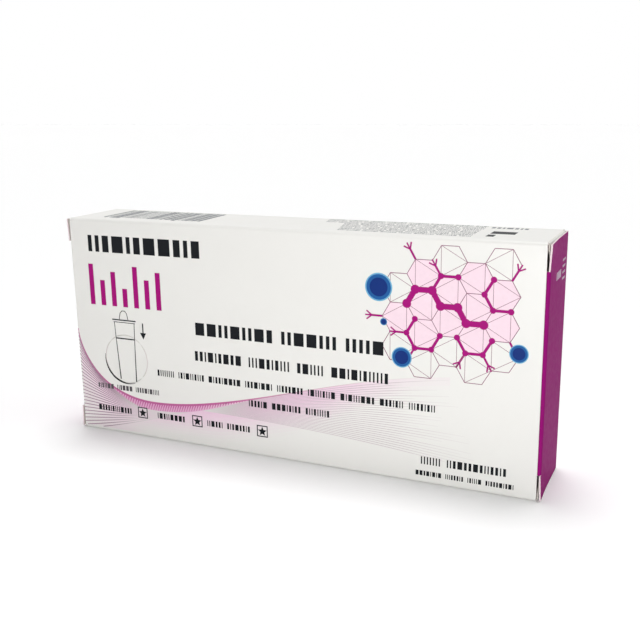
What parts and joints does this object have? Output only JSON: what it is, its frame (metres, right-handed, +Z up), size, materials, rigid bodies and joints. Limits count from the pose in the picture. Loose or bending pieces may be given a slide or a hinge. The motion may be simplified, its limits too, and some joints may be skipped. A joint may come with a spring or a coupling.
{
  "type": "boxed rapid test kit",
  "caption": "Tuck-end folding carton standing on its long side, with hinged end flaps, holding a foil pouch, swab, extraction tube, dropper cap and leaflet.",
  "frame": {"origin": "middle of the underside, on the surface that the box stands on", "axes": "+X along the box to the right as seen from the front, +Y from the front panel to the back panel, +Z up"},
  "size_m": [0.1606, 0.0264, 0.0741],
  "materials": {
    "printed_board": "coated white board",
    "end_board": "board printed purple outside",
    "leaflet_paper": "thin uncoated paper",
    "foil": "satin laminate foil",
    "sleeve_paper": "smooth medical paper",
    "clear_film": "clear peel film",
    "swab_plastic": "moulded white plastic",
    "flock": "flocked fibre",
    "tube_plastic": "milky soft plastic",
    "lid_foil": "satin foil",
    "liquid": "clear liquid",
    "cap_plastic": "moulded white plastic"
  },
  "bodies": {
    "box": {"carton": "printed_board", "leaflet": "leaflet_paper", "cassette_pouch": "foil", "swab_sleeve_paper": "sleeve_paper", "swab_sleeve_film": "clear_film", "swab_shaft": "swab_plastic", "swab_tip": "flock", "extraction_tube": "tube_plastic", "tube_foil_lid": "lid_foil", "buffer_liquid": "liquid", "dropper_cap": "cap_plastic"},
    "right_flap": {"right_end_flap": "end_board"},
    "left_flap": {"left_end_flap": "end_board"}
  },
  "joints": [
    {"name": "right_flap_hinge", "type": "hinge", "parent": "box", "child": "right_flap", "pos_m": [0.07955, 0.01275, 0.03705], "axis": [0, 0, 1], "range_deg": [0, 135]},
    {"name": "left_flap_hinge", "type": "hinge", "parent": "box", "child": "left_flap", "pos_m": [-0.07955, 0.01275, 0.03705], "axis": [0, 0, -1], "range_deg": [0, 135]}
  ]
}
